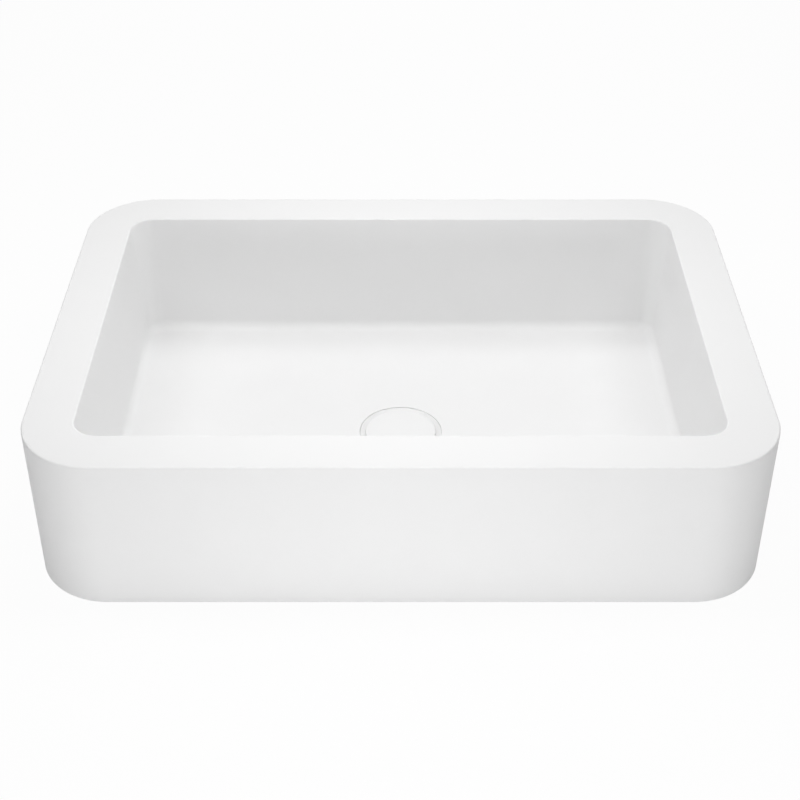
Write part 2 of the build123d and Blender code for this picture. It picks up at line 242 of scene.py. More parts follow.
@dataclass(frozen=True)
class Thread:
    """A screw thread's groove, which winds down from its crest radius."""

    pitch: float
    depth: float
    flat: float = 0.14

    def groove(self, heights: Array, columns: int, start: float, end: float) -> Array:
        """How deep the groove is at each height and column.

        The place within a turn is height over pitch less angle over a full turn. The depth goes
        from the crest to the root and back along straight flanks, rounded at both by a cubic,
        and fades in and out over one pitch at the thread's two ends.

        Args:
            heights: The rows' heights.
            columns: The number of columns round the axis.
            start: The height at which the thread begins.
            end: The height at which it runs out.

        Returns:
            The depth, as rows by columns.
        """
        turn = np.arange(columns) / columns
        place = np.mod(heights[:, None] / self.pitch - turn, 1.0)
        flank = np.clip((1 - np.abs(2 * place - 1) - self.flat) / (1 - 2 * self.flat), 0, 1)
        fade = np.clip((heights - start) / self.pitch, 0, 1) * np.clip((end - heights) / self.pitch, 0, 1)
        return self.depth * (flank * flank * (3 - 2 * flank)) * fade[:, None]


# The waste's pipe thread: eleven turns to the inch, on the barrel's outer radius
PIPE_THREAD = Thread(pitch=25.4 * MM / 11, depth=1.479 * MM)
BARREL_RADIUS = 20.955 * MM


def rounded_ring(
    half_length: float, half_width: float, corner: float, evenness: float = 0.0
) -> tuple[Array, Array]:
    """A rounded rectangle about the origin, and its outward directions.

    A quarter of it runs from the middle of the right side along a straight, an arc and another
    straight. With the way along it s, the corner's angle is s less the first straight over the
    corner radius, held between nothing and a quarter turn. The other quarters are its mirror
    images. Points crowd on the arcs, or with full evenness lie evenly along the whole ring.

    Args:
        half_length: Half its size along X.
        half_width: Half its size along Y.
        corner: Its corner radius.
        evenness: From 0, crowded on the arcs, to 1, evenly spaced.

    Returns:
        The points and the directions, each as columns by two.
    """
    steps = np.arange(sum(RING_STEPS) + 1)
    bounds = np.cumsum((0, *RING_STEPS))
    parts = [np.clip((steps - bounds[n]) / RING_STEPS[n], 0, 1) for n in range(3)]
    straights = (half_width - corner, half_length - corner)
    arc = corner * math.pi / 2
    total = straights[0] + arc + straights[1]
    crowded = straights[0] * parts[0] + arc * parts[1] + straights[1] * parts[2]
    along = (1 - evenness) * crowded + evenness * total * steps / steps[-1]
    angle = np.clip((along - straights[0]) / corner, 0, math.pi / 2)
    x = straights[1] + corner * np.cos(angle) - np.maximum(along - straights[0] - arc, 0)
    y = np.minimum(along, straights[0]) + corner * np.sin(angle)
    quarter = np.stack([x, y, np.cos(angle), np.sin(angle)], axis=-1)
    back_and_front = []
    for across, up in ((1, 1), (-1, 1), (-1, -1), (1, -1)):
        mirrored = quarter * (across, up, across, up)
        back_and_front.append(mirrored[:-1] if across == up else mirrored[:0:-1])
    ring = np.concatenate(back_and_front)
    return ring[:, :2], ring[:, 2:]


def level(ring: Array, height: float | Array) -> Array:
    """A ring of plan points lifted to a height, or to a height for each point."""
    return np.concatenate([ring, np.broadcast_to(height, len(ring))[:, None]], axis=1)


def blended(first: Array, last: Array, shares: Array) -> Array:
    """Rows that lie between two rows, each at its share of the way from the first."""
    return first + shares[:, None, None] * (last - first)


def build_piece(
    name: str,
    shells: Sequence[Shell],
    finishes: Sequence[Material],
    body: str,
    replaced: str,
    finish_of_face: Array | None = None,
    crease: float | None = None,
) -> None:
    """Puts shells into one mesh object and ties it to the frame.

    Args:
        name: The piece's name.
        shells: Its closed surfaces.
        finishes: Its materials.
        body: The CAD body that it rides on.
        replaced: The CAD node that it stands for.
        finish_of_face: The material's number for each face, where there is more than one.
        crease: The angle from which an edge is shaded sharp, if any is.
    """
    starts = np.cumsum([0] + [len(shell.points) for shell in shells])
    points = np.concatenate([shell.points for shell in shells])
    faces = []
    for start, shell in zip(starts, shells):
        faces += (shell.quads + start).tolist()
        faces += (shell.triangles + start).tolist()
    mesh = bpy.data.meshes.new(name)
    mesh.from_pydata(points, [], faces, shade_flat=False)
    for finish in finishes:
        mesh.materials.append(finish)
    if finish_of_face is not None:
        mesh.polygons.foreach_set("material_index", finish_of_face.astype(np.int32))
    mesh.update()
    if crease is not None:
        mesh.set_sharp_from_angle(angle=crease)
    piece = bpy.data.objects.new(name, mesh)
    bpy.context.scene.collection.objects.link(piece)
    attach(piece, body)
    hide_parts(replaced)
    log.info("%s: %d faces on %s", name, len(faces), body)


def dress_nodes(finish: Material, *nodes: str) -> None:
    """Gives CAD nodes that stay their finish.

    Args:
        finish: The material.
        nodes: The nodes' names.
    """
    for node in nodes:
        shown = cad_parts[node]
        shown.data.materials.clear()
        shown.data.materials.append(finish)
        log.info("%s: the CAD node in %s", node, finish.name)


def math_method(operation: str, reflected: bool = False) -> Callable[..., "Signal"]:
    """A method of Signal that adds one Math node.

    Args:
        operation: The node's operation.
        reflected: Whether the other value comes first.

    Returns:
        The method, which takes another value and returns the node's signal.
    """

    def method(signal: "Signal", other: "Signal | float" = 0.0) -> "Signal":
        """The operation's result on this and another value."""
        first, second = (other, signal) if reflected else (signal, other)
        return signal.graph.signal("ShaderNodeMath", {"operation": operation}, {0: first, 1: second})

    return method


@dataclass(frozen=True)
class Signal:
    """A number that varies over a surface, so that sums on it add Math nodes."""

    graph: "Graph"
    socket: Socket

    __add__, __radd__ = math_method("ADD"), math_method("ADD", reflected=True)
    __sub__, __rsub__ = math_method("SUBTRACT"), math_method("SUBTRACT", reflected=True)
    __mul__, __rmul__ = math_method("MULTIPLY"), math_method("MULTIPLY", reflected=True)
    to_power = math_method("POWER")
    sine = math_method("SINE")
    or_more = math_method("MAXIMUM")


Value = Signal | Socket | float | Sequence[float]
Inputs = dict[int | str, Value]


@dataclass(frozen=True)
class Graph:
    """The nodes of one material, which reads the piece's own Object coordinates."""

    tree: bpy.types.NodeTree

    COLOUR_FIRST, COLOUR_SECOND, COLOUR_OUT = 6, 7, 2

    def __post_init__(self) -> None:
        """Empties the tree of a material or a world to build in it."""
        self.tree.nodes.clear()

    def node(self, kind: str, settings: dict[str, object], inputs: Inputs) -> bpy.types.Node:
        """Adds a node.

        Args:
            kind: The node's type.
            settings: Its own settings, which are made first.
            inputs: The value or the link of each of its sockets.

        Returns:
            The node.
        """
        made = self.tree.nodes.new(kind)
        for name, value in settings.items():
            setattr(made, name, value)
        for key, value in inputs.items():
            socket = made.inputs[key]
            source = value.socket if isinstance(value, Signal) else value
            if isinstance(source, Socket):
                self.tree.links.new(source, socket)
            else:
                socket.default_value = source
        return made

    def signal(
        self, kind: str, settings: dict[str, object], inputs: Inputs, output: int | str = 0
    ) -> Signal:
        """Adds a node and wraps one of its outputs as a number."""
        return Signal(self, self.node(kind, settings, inputs).outputs[output])

    def place(self) -> Socket:
        """The Object coordinates of the piece."""
        return self.node("ShaderNodeTexCoord", {}, {}).outputs["Object"]

    def axes(self) -> list[Signal]:
        """The three Object coordinates as numbers."""
        split = self.node("ShaderNodeSeparateXYZ", {}, {0: self.place()})
        return [Signal(self, socket) for socket in split.outputs]

    def noise(self, size: float, detail: float = 2.0, stretch: Sequence[float] = (1, 1, 1)) -> Signal:
        """Smooth noise about 0.5 whose lumps have a size.

        Args:
            size: The lumps' size.
            detail: How many finer layers lie on it.
            stretch: How many times as long the lumps are along each axis.

        Returns:
            The noise.
        """
        scale = [1 / (size * times) for times in stretch]
        where = self.node("ShaderNodeMapping", {}, {"Vector": self.place(), "Scale": scale})
        inputs = {"Vector": where.outputs[0], "Scale": 1.0, "Detail": detail, "Roughness": 0.55}
        return self.signal("ShaderNodeTexNoise", {}, inputs)

    def shade(self, mask: Value, first: Colour, second: Colour) -> Socket:
        """The colour that lies between two by a mask from 0 to 1."""
        settings = {"data_type": "RGBA", "clamp_factor": True}
        inputs = {0: mask, self.COLOUR_FIRST: (*first, 1.0), self.COLOUR_SECOND: (*second, 1.0)}
        return self.node("ShaderNodeMix", settings, inputs).outputs[self.COLOUR_OUT]

    def relief(self, height: Signal, depth: float) -> Socket:
        """The normal of a surface whose height varies by a depth, in metres, as a signal does."""
        inputs = {"Height": height, "Distance": depth, "Strength": 1.0}
        return self.node("ShaderNodeBump", {}, inputs).outputs["Normal"]


def new_graph(name: str) -> tuple[Material, Graph]:
    """A new material and its empty graph.

    Args:
        name: The material's name.

    Returns:
        The material and the graph.
    """
    material = bpy.data.materials.new(name)
    material.use_nodes = True
    return material, Graph(material.node_tree)


@dataclass(frozen=True)
class Finish:
    """A material with one surface shader, whose sockets each kind of finish fills."""

    name: str

    def sockets(self, graph: Graph) -> Inputs:
        """The shader's values and links."""
        raise NotImplementedError

    def build(self) -> Material:
        """Builds the material."""
        material, graph = new_graph(self.name)
        shader = graph.node("ShaderNodeBsdfPrincipled", {}, self.sockets(graph))
        graph.node("ShaderNodeOutputMaterial", {}, {"Surface": shader.outputs[0]})
        return material


@dataclass(frozen=True)
class CastStone(Finish):
    """Matte white solid surface: faint clouds, mineral grain and a silky sanded skin."""

    name: str = "cast_stone_matte"
    light: Colour = (0.885, 0.885, 0.885)
    dark: Colour = (0.845, 0.845, 0.845)
    cloud: float = 45 * MM
    grain: float = 1.1 * MM
    skin: float = 0.45 * MM
    skin_depth: float = 0.006 * MM
    grain_share: float = 0.55
    roughness: float = 0.58
    roughness_range: float = 0.1
    specular: float = 0.25

    def sockets(self, graph: Graph) -> Inputs:
        """The shader's values and links."""
        clouds = graph.noise(self.cloud, detail=3.0)
        grain = graph.noise(self.grain, detail=4.0)
        mask = (1 - self.grain_share) * clouds + self.grain_share * grain
        skin = graph.noise(self.skin, detail=3.0)
        return {
            "Base Color": graph.shade(mask, self.light, self.dark),
            "Roughness": self.roughness + self.roughness_range * (grain - 0.5),
            "Specular IOR Level": self.specular,
            "Normal": graph.relief(skin, self.skin_depth),
        }


@dataclass(frozen=True)
class PowderCoat(Finish):
    """Matte white powder coat on metal, with a fine orange peel."""

    name: str = "powder_coat_white"
    light: Colour = (0.87, 0.87, 0.87)
    dark: Colour = (0.84, 0.84, 0.838)
    peel: float = 1.6 * MM
    peel_depth: float = 0.02 * MM
    roughness: float = 0.42
    roughness_range: float = 0.08

    def sockets(self, graph: Graph) -> Inputs:
        """The shader's values and links."""
        peel = graph.noise(self.peel, detail=1.0)
        tone = graph.noise(self.peel * 8, detail=2.0)
        return {
            "Base Color": graph.shade(tone, self.light, self.dark),
            "Roughness": self.roughness + self.roughness_range * (peel - 0.5),
            "Normal": graph.relief(peel, self.peel_depth),
        }


@dataclass(frozen=True)
class TurnedMetal(Finish):
    """Metal from a lathe: fine rings of the tool, a little tarnish and rubbed spots."""

    bright: Colour
    dull: Colour
    roughness: float
    feed: float = 0.22 * MM
    feed_depth: float = 0.004 * MM
    stain: float = 7 * MM
    rub: float = 1.3 * MM

    def sockets(self, graph: Graph) -> Inputs:
        """The shader's values and links.

        The rings are the sine of the distance from the axis plus the height, over the feed.
        """
        x, y, z = graph.axes()
        radius = (x * x + y * y).to_power(0.5)
        rings = ((radius + z) * (FULL_TURN / self.feed)).sine()
        tarnish = graph.noise(self.stain, detail=4.0)
        rubbed = graph.noise(self.rub, detail=3.0)
        return {
            "Base Color": graph.shade(0.7 * tarnish + 0.3 * rubbed, self.bright, self.dull),
            "Metallic": 1.0,
            "Roughness": self.roughness + 0.14 * (tarnish - 0.5) + 0.08 * (rubbed - 0.5),
            "Normal": graph.relief(rings + 0.6 * rubbed, self.feed_depth),
        }


@dataclass(frozen=True)
class SealRubber(Finish):
    """Black moulded rubber with a grey bloom and a fine stipple."""

    name: str = "seal_rubber_black"
    deep: Colour = (0.012, 0.012, 0.013)
    bloom: Colour = (0.04, 0.04, 0.042)
    stipple: float = 0.5 * MM
    stipple_depth: float = 0.02 * MM
    bloom_size: float = 6 * MM

    def sockets(self, graph: Graph) -> Inputs:
        """The shader's values and links."""
        stipple = graph.noise(self.stipple, detail=2.0)
        bloom = graph.noise(self.bloom_size, detail=4.0)
        return {
            "Base Color": graph.shade(bloom * bloom * 1.6, self.deep, self.bloom),
            "Roughness": 0.62 + 0.2 * bloom,
            "Normal": graph.relief(stipple, self.stipple_depth),
        }


@dataclass(frozen=True)
class MouldedPlastic(Finish):
    """Moulded engineering plastic: milky, with flow clouds and a satin skin."""

    light: Colour
    dark: Colour
    roughness: float = 0.38
    flow_size: float = 9 * MM
    skin: float = 0.6 * MM
    skin_depth: float = 0.008 * MM

    def sockets(self, graph: Graph) -> Inputs:
        """The shader's values and links."""
        flow = graph.noise(self.flow_size, detail=3.0, stretch=(1, 1, 0.4))
        skin = graph.noise(self.skin, detail=2.0)
        return {
            "Base Color": graph.shade(flow, self.light, self.dark),
            "Roughness": self.roughness + 0.1 * (skin - 0.5),
            "Normal": graph.relief(skin, self.skin_depth),
        }


@dataclass(frozen=True)
class SpringWire(Finish):
    """Drawn steel wire with fine lengthwise draw marks."""

    name: str = "spring_wire_drawn"
    light: Colour = (0.62, 0.61, 0.6)
    dark: Colour = (0.42, 0.42, 0.43)
    mark: float = 0.12 * MM
    mark_depth: float = 0.004 * MM
    cloud: float = 3 * MM

    def sockets(self, graph: Graph) -> Inputs:
        """The shader's values and links."""
        marks = graph.noise(self.mark, detail=3.0, stretch=(12, 12, 1))
        tone = graph.noise(self.cloud, detail=2.0)
        return {
            "Base Color": graph.shade(tone, self.light, self.dark),
            "Metallic": 1.0,
            "Roughness": 0.28 + 0.16 * marks,
            "Normal": graph.relief(marks, self.mark_depth),
        }


@dataclass(frozen=True)
class Finishes:
    """Every finish of the basin, built once."""

    stone: Material
    coat: Material
    brass: Material
    steel: Material
    rubber: Material
    nylon: Material
    acetal: Material
    wire: Material

    @classmethod
    def build(cls) -> "Finishes":
        """Builds them all."""
        return cls(
            stone=CastStone().build(),
            coat=PowderCoat().build(),
            brass=TurnedMetal("brass_turned", (0.78, 0.57, 0.27), (0.6, 0.41, 0.18), 0.24).build(),
            steel=TurnedMetal("steel_satin", (0.68, 0.68, 0.69), (0.5, 0.5, 0.51), 0.3).build(),
            rubber=SealRubber().build(),
            nylon=MouldedPlastic("nylon_natural", (0.82, 0.8, 0.74), (0.76, 0.73, 0.66)).build(),
            acetal=MouldedPlastic("acetal_white", (0.8, 0.81, 0.82), (0.72, 0.73, 0.75), 0.3).build(),
            wire=SpringWire().build(),
        )


@dataclass
class StoneBasin:
    """The cast bowl as one profile carried round: hole, floor, walls, rim, sides and underside."""

    rim_width: float = 40 * MM
    corner: float = 60 * MM
    bowl_corner: float = 20 * MM
    lean: float = 5 * MM
    floor_edge: float = 17.5 * MM
    floor_drain: float = 13 * MM
    fillet: float = 9 * MM
    sump_reach: float = 3 * MM
    sump_flat: float = 0.5 * MM
    edge: float = 1.5 * MM
    recess_edge: float = 0.6 * MM
    recess_gap: float = 0.35 * MM
    hole: float = 23 * MM
    land: float = 36 * MM
    field: float = 3 * MM
    boss: float = 48 * MM
    boss_shy: float = 0.5 * MM
    small_edge: float = 0.3 * MM
    small_steps: int = 3
    loop: float = 0.6 * MM
    arc_steps: int = 10
    flat_steps: int = 7
    floor_reach: float = 0.9
    floor_steps: int = 15
    wall_shares: tuple[float, ...] = (0.115, 0.14, 0.3, 0.5, 0.7, 0.86, 0.96)
    side_reach: tuple[float, float] = (0.9, 0.1)
    side_rows: int = 7

    def __post_init__(self) -> None:
        """Takes the outer size, and the recess that the flange lies in, from the frame."""
        _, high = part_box("basin")
        self.half_length, self.half_width, self.height = high.x, high.y, high.z
        self.inset = self.rim_width + self.lean
        self.recess = Extent.of("waste_body").outer + self.recess_gap
        self.recess_floor = Extent.of("flange_gasket").foot
        self.arc = np.linspace(0, math.pi / 2, self.arc_steps + 1)

    def crease(self) -> tuple[Array, Array]:
        """The ring where the inner walls and the floor would meet, and its outward directions."""
        half_length, half_width = self.half_length - self.inset, self.half_width - self.inset
        return rounded_ring(half_length, half_width, self.bowl_corner - self.lean)

    def quarter(
        self, ring: Array | float, way: Array, start: Corner, end: Corner, level_first: bool
    ) -> list[Array]:
        """The rows of a quarter round.

        At an angle a of the quarter turn, one of reach and height has gone the sine of a of its
        way, and the other 1 less the cosine of a.

        Args:
            ring: The plan that the reach is measured from.
            way: Its outward directions.
            start: The first row's (reach, height).
            end: The last row's (reach, height).
            level_first: Whether the round starts level, rather than upright.

        Returns:
            The rows.
        """
        early, late = np.sin(self.arc), 1 - np.cos(self.arc)
        shares = zip(early, late) if level_first else zip(late, early)
        rows = []
        for outward, upward in shares:
            reach = start[0] + outward * (end[0] - start[0])
            rows.append(level(ring + reach * way, start[1] + upward * (end[1] - start[1])))
        return rows

    def floor_rows(self, crease: Array, way: Array) -> list[Array]:
        """The bowl's floor and the fillet up to its walls, from the drain outward.

        At a share t of the way out the floor is a level rounded rectangle whose half sizes,
        corner radius and height all go straight from the drain's to the edge's. The fillet is
        a circle's arc in each upright section, tangent to the floor's fall and the wall's lean.
        """
        level_reach = self.recess + self.sump_reach
        inner = np.array([level_reach, level_reach, level_reach - self.sump_flat, self.floor_drain])
        outer = np.array([self.half_length, self.half_width, self.bowl_corner, self.floor_edge])
        outer[:3] -= self.inset, self.inset, self.lean
        rows = []
        for share in np.linspace(0, self.floor_reach, self.floor_steps + 1):
            half_length, half_width, corner, height = inner + share * (outer - inner)
            even = (1 - share / self.floor_reach) ** 2
            rows.append(level(rounded_ring(half_length, half_width, corner, even)[0], height))
        hub = inner[:2] - inner[2]
        run = ((outer[:2] - outer[2] - hub) * np.abs(way)).sum(axis=1) + outer[2] - inner[2]
        fall = (self.floor_edge - self.floor_drain) / run
        wall_turn = math.atan2(self.lean, self.height - self.floor_edge)
        floor_turn = np.arctan2(1, fall)
        wall_out = np.array([math.cos(wall_turn), math.sin(wall_turn)])
        floor_out = np.stack([np.cos(floor_turn), np.sin(floor_turn)], axis=-1)
        centre = self.fillet * (wall_out + floor_out) / (1 + floor_out @ wall_out)[:, None]
        for share in np.linspace(0, 1, self.arc_steps + 1):
            turn = floor_turn + share * (wall_turn - floor_turn)
            inward = centre[:, 0] - self.fillet * np.cos(turn)
            height = self.floor_edge + centre[:, 1] - self.fillet * np.sin(turn)
            rows.append(level(crease - inward[:, None] * way, height))
        return rows

    def wall_rows(self, crease: Array, way: Array) -> list[Array]:
        """The leaning inner walls and the round of the bowl's upper edge.

        A wall stands off the crease by the lean's share of its height. The round is an arc from
        the wall's slope to the level of the rim.
        """
        rise = self.height - self.floor_edge
        turn = math.atan2(self.lean, rise)
        reach = self.lean + self.edge * (1 - math.sin(turn)) / math.cos(turn)
        centre = self.height - self.edge
        touch = centre + self.edge * math.sin(turn)
        last = (touch - self.loop - self.floor_edge) / rise
        rows = []
        for share in (*self.wall_shares, last):
            rows.append(level(crease + self.lean * share * way, self.floor_edge + share * rise))
        for angle in np.linspace(turn, math.pi / 2, self.arc_steps + 1):
            out = reach - self.edge * math.cos(angle)
            rows.append(level(crease + out * way, centre + self.edge * math.sin(angle)))
        rows.append(level(crease + (reach + self.loop) * way, self.height))
        return rows

    def outside_rows(self) -> list[Array]:
        """The rim's outer edge, the upright sides and the edge of the foot, from the top down."""
        ring, way = rounded_ring(self.half_length, self.half_width, self.corner)
        edge, top = self.edge, self.height - self.edge
        rows = [level(ring - (edge + self.loop) * way, self.height)]
        rows += self.quarter(ring, way, (-edge, self.height), (0.0, top), True)
        rows.append(level(ring, top - self.loop))
        shares = np.linspace(*self.side_reach, self.side_rows)
        rows += [level(ring, share * self.height) for share in shares]
        rows.append(level(ring, edge + self.loop))
        rows += self.quarter(ring, way, (0.0, edge), (-edge, 0.0), False)
        rows.append(level(ring - (edge + self.loop) * way, 0.0))
        return rows

    def underside_rows(self) -> list[Array]:
        """The land, the field behind it, the boss and the hole, from the foot inward and up."""
        half_length, half_width = self.half_length - self.land, self.half_width - self.land
        ring, way = rounded_ring(half_length, half_width, self.corner - self.land)
        edge, small, field = self.edge, self.small_edge, self.field
        rows = [level(ring + small * way, 0.0), level(ring, 0.0), level(ring, small)]
        rows += self.quarter(ring, way, (0.0, field - edge), (-edge, field), False)
        circle = rounded_ring(1.0, 1.0, 1.0, evenness=1.0)[0]
        first = level(ring - (edge + self.loop) * way, field)
        last = level((self.boss + edge + self.loop) * circle, field)
        rows += list(blended(first, last, np.linspace(0, 1, self.flat_steps + 1)))
        rows += self.quarter(0.0, circle, (self.boss + edge, field), (self.boss, field - edge), True)
        corners = (
            (self.boss, self.boss_shy + 3 * small), (self.boss, self.boss_shy),
            (self.hole, self.boss_shy), (self.hole, self.recess_floor),
            (self.recess, self.recess_floor), (self.recess, self.floor_drain - 2 * self.recess_edge),
        )
        # The first corner is left out, and all of the last but the start of its arc
        skipped = self.small_steps + 3
        for radius, height in softened(corners, small, self.small_steps)[skipped:2 - skipped]:
            rows.append(level(radius * circle, height))
        foot = (self.recess, self.floor_drain - self.recess_edge)
        rows += self.quarter(0.0, circle, foot, (self.recess + self.recess_edge, self.floor_drain), False)
        rows.append(level((self.recess + 2 * self.recess_edge) * circle, self.floor_drain))
        return rows

    def build(self, finishes: Finishes) -> None:
        """Builds the basin.

        Args:
            finishes: The finishes.
        """
        crease, way = self.crease()
        inside = self.floor_rows(crease, way) + self.wall_rows(crease, way)
        outside = self.outside_rows()
        rim = list(blended(inside[-1], outside[0], np.linspace(0, 1, self.flat_steps + 1)[1:-1]))
        rows = inside + rim + outside + self.underside_rows()
        shell = Shell.from_rows(np.stack(rows), Ends.JOINED)
        build_piece("basin_stone", [shell], [finishes.stone], FIXED_BODY, "basin")


@dataclass
class CoverGroup:
    """The stone cover with its carrier, seal and nut, and the plunger and rotor below."""

    columns: int = 192
    cover_round: float = 0.6 * MM
    cover_crown: float = 0.8 * MM
    crown_rows: int = 26
    axis_share: float = 0.004
    carrier_plate: float = 1 * MM
    pocket_gap: float = 0.05 * MM
    pocket_round: float = 0.15 * MM
    pocket_shares: tuple[float, ...] = (0.6, 0.3, 0.01)

    def cover(self, finishes: Finishes) -> None:
        """The crowned disc: its height falls with the square of the distance from the axis."""
        disc = Extent.of("drain_cover")
        plate = Extent.of("cover_carrier")
        edge_top = disc.top - self.cover_crown
        shares = np.linspace(self.axis_share, 1 - 3 * self.cover_round / disc.outer, self.crown_rows)
        crown = np.stack([disc.outer * shares, edge_top + self.cover_crown * (1 - shares**2)], axis=-1)
        pocket = plate.outer + self.pocket_gap
        pocket_top = disc.foot + self.carrier_plate
        corners = (
            (pocket, edge_top), (disc.outer, edge_top), (disc.outer, disc.foot),
            (pocket, disc.foot), (pocket, pocket_top), (pocket / 2, pocket_top),
        )
        rounds = (0, self.cover_round, self.cover_round, self.pocket_round, self.pocket_round, 0)
        # The first and the last corner only give their neighbours a direction
        edges = softened(corners, rounds)[CORNER_POINTS:-CORNER_POINTS]
        slope = 2 * self.cover_crown / disc.outer
        edges[:CORNER_POINTS, 1] += slope * np.clip(disc.outer - edges[:CORNER_POINTS, 0], 0, None)
        floor = np.array([[share * pocket, pocket_top] for share in self.pocket_shares])
        rows = turned(np.concatenate([crown, edges, floor]), self.columns)
        shell = Shell.from_rows(rows, Ends.CAPPED)
        build_piece("cover_stone", [shell], [finishes.stone], MOVING_BODY, "drain_cover")

    def build(self, finishes: Finishes) -> None:
        """Builds the cover and dresses what rides with it.

        Args:
            finishes: The finishes.
        """
        self.cover(finishes)
        dress_nodes(finishes.steel, "cover_carrier")
        dress_nodes(finishes.rubber, "cover_seal")
        dress_nodes(finishes.brass, "height_nut", "plunger")
        dress_nodes(finishes.acetal, "click_rotor")


@dataclass
class WasteBody:
    """One turned casting: dished flange, mouth cone, threaded barrel and the spider inside it."""

    thread: Thread = PIPE_THREAD
    barrel: float = BARREL_RADIUS
    bore: float = 18 * MM
    chamfer: float = 1 * MM
    flange_thickness: float = 1.2 * MM
    flange_land: float = 0.7 * MM
    dish_gap: float = 0.6 * MM
    dish_round: float = 4 * MM
    mouth_depth: float = 2.5 * MM
    coat: float = 0.2 * MM
    outlet_thread: float = 14 * MM
    runout_width: float = 3 * MM
    runout_depth: float = 1.2 * MM
    thread_stop: float = 3 * MM
    spider_arms: int = 3
    spider_arm_width: float = 3 * MM
    spider_height: float = 6 * MM
    spider_top: float = -17.5 * MM
    spider_bore: float = 8.55 * MM
    spider_hub: float = 11.15 * MM
    spider_edge: float = 0.5 * MM
    arm_edge: float = 0.6 * MM
    arm_overlap: float = 1 * MM
    arm_rows: int = 6
    columns: int = 144
    rows_in_pitch: int = 10

    def __post_init__(self) -> None:
        """Takes the flange's place from the solids that it lies on and holds."""
        shape = Extent.of("waste_body")
        self.foot, self.rim_top, self.flange = shape.foot, shape.top, shape.outer
        self.under = Extent.of("flange_gasket").top
        self.cover = Extent.of("drain_cover").outer

    def shell(self) -> Shell:
        """The flange and the barrel as one closed turned profile with its threads cut in.

        On the barrel's outer wall the radius is the smaller of the blank's and of the barrel's
        less the groove. The run-out between the two threads is a groove with sloped sides.
        """
        top = self.under + self.flange_thickness
        # Each corner's radius, its height and, in mm, the round of its edge
        corners = (
            (self.bore, self.foot, 0.3),
            (self.barrel - self.chamfer, self.foot, 0.15),
            (self.barrel, self.foot + self.chamfer, 0.15),
            (self.barrel, self.under, 0.3),
            (self.flange + self.coat, self.under, 0.2),
            (self.flange + self.coat, self.rim_top, 0.35),
            (self.flange + self.coat - self.flange_land, self.rim_top, 0.2),
            (self.cover + self.dish_gap - self.coat, top, self.dish_round / MM),
            (self.bore + self.mouth_depth, top, 0.3),
            (self.bore, top - self.mouth_depth, 0.6),
        )
        table = np.array(corners)
        profile = softened(table[:, :2], table[:, 2] * MM)
        wall_end = 3 * CORNER_POINTS
        rise = profile[wall_end, 1] - profile[wall_end - 1, 1]
        profile = divided(profile, wall_end, round(rise / self.thread.pitch * self.rows_in_pitch))
        heights = profile[:, 1]
        runout_foot = self.foot + self.outlet_thread
        runout_top = runout_foot + self.runout_width
        depth = self.thread.groove(heights, self.columns, self.foot, runout_foot)
        depth += self.thread.groove(heights, self.columns, runout_top, self.under - self.thread_stop)
        runout = np.clip(np.minimum(heights - runout_foot, runout_top - heights), 0, self.runout_depth)
        cut = self.barrel - np.maximum(depth, runout[:, None])
        outside = (profile[:, 0] > self.bore + self.chamfer) & (heights < self.under - self.coat)
        grid = np.repeat(profile[:, None, :], self.columns, axis=1)
        grid[..., 0] = np.where(outside[:, None], np.minimum(grid[..., 0], cut), grid[..., 0])
        return Shell.from_rows(turned(grid, self.columns), Ends.JOINED)

    def spider(self) -> list[Shell]:
        """The hub that carries the cartridge, and its arms, which end inside the barrel's wall."""
        foot = self.spider_top - self.spider_height
        upright = oblong(self.spider_bore, self.spider_hub, foot, self.spider_top)
        hub = softened(upright, self.spider_edge)
        shells = [Shell.from_rows(turned(hub, self.columns // 2), Ends.JOINED)]
        half = self.spider_arm_width / 2
        section = softened(oblong(-half, half, foot, self.spider_top), self.arm_edge)
        ends = (self.spider_hub - self.arm_overlap, self.bore + self.arm_overlap)
        along = np.linspace(*ends, self.arm_rows)
        for angle in FULL_TURN * np.arange(self.spider_arms) / self.spider_arms:
            out = np.array([math.cos(angle), math.sin(angle)])
            side = np.array([-out[1], out[0]])
            plan = along[:, None, None] * out + section[None, :, :1] * side
            height = np.broadcast_to(section[None, :, 1:], (*plan.shape[:2], 1))
            shells.append(Shell.from_rows(np.concatenate([plan, height], axis=-1), Ends.CAPPED))
        return shells

    def build(self, finishes: Finishes) -> None:
        """Builds the body: white coat on the flange and in the mouth, plain brass below.

        Args:
            finishes: The finishes.
        """
        shells = [self.shell(), *self.spider()]
        faces = [shell.points[part] for shell in shells for part in (shell.quads, shell.triangles)]
        heights = np.concatenate([corners.mean(axis=1)[:, 2] for corners in faces])
        plain = heights < self.under - self.coat / 2
        materials = [finishes.coat, finishes.brass]
        build_piece("waste_casting", shells, materials, FIXED_BODY, "waste_body", plain)


